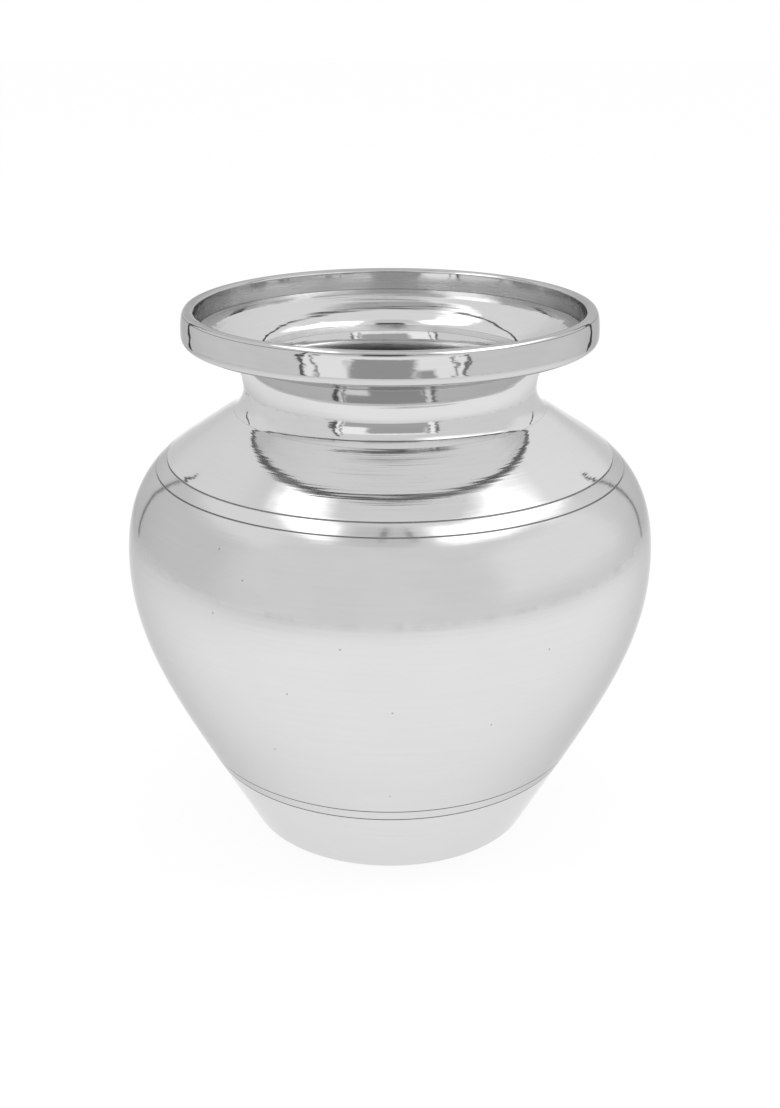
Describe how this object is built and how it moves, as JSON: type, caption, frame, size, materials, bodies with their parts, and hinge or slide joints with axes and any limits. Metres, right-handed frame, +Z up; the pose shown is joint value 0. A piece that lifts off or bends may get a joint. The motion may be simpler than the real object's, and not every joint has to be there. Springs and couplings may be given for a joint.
{
  "type": "kalash pot",
  "caption": "Round-bellied metal kalash pot with a waisted neck, a flared mouth dish and a heavy rim ring, open at the top and standing on a flat base.",
  "frame": {"origin": "centre of the flat base, on the surface that the pot stands on", "axes": "+Z up along the pot's axis; the pot is the same all round, and the picture looks along +Y"},
  "size_m": [0.125, 0.125, 0.1277],
  "materials": {
    "polished_silver": "silver-coloured metal, turned and polished, with fine lathe lines round the body",
    "dish_silver": "silver-coloured metal, turned, a little less bright than the outside",
    "rim_silver": "silver-coloured metal, polished bright, with a few small marks",
    "solder": "dull grey solder"
  },
  "bodies": {
    "root": {"base_cup": "polished_silver", "belly_shell": "polished_silver", "shoulder_shell": "polished_silver", "neck_collar": "polished_silver", "mouth_dish": "dish_silver", "rim_ring": "rim_silver", "base_solder_ring": "solder", "shoulder_solder_ring": "solder", "neck_solder_ring": "solder", "dish_solder_ring": "solder", "rim_solder_ring": "solder"}
  },
  "joints": []
}
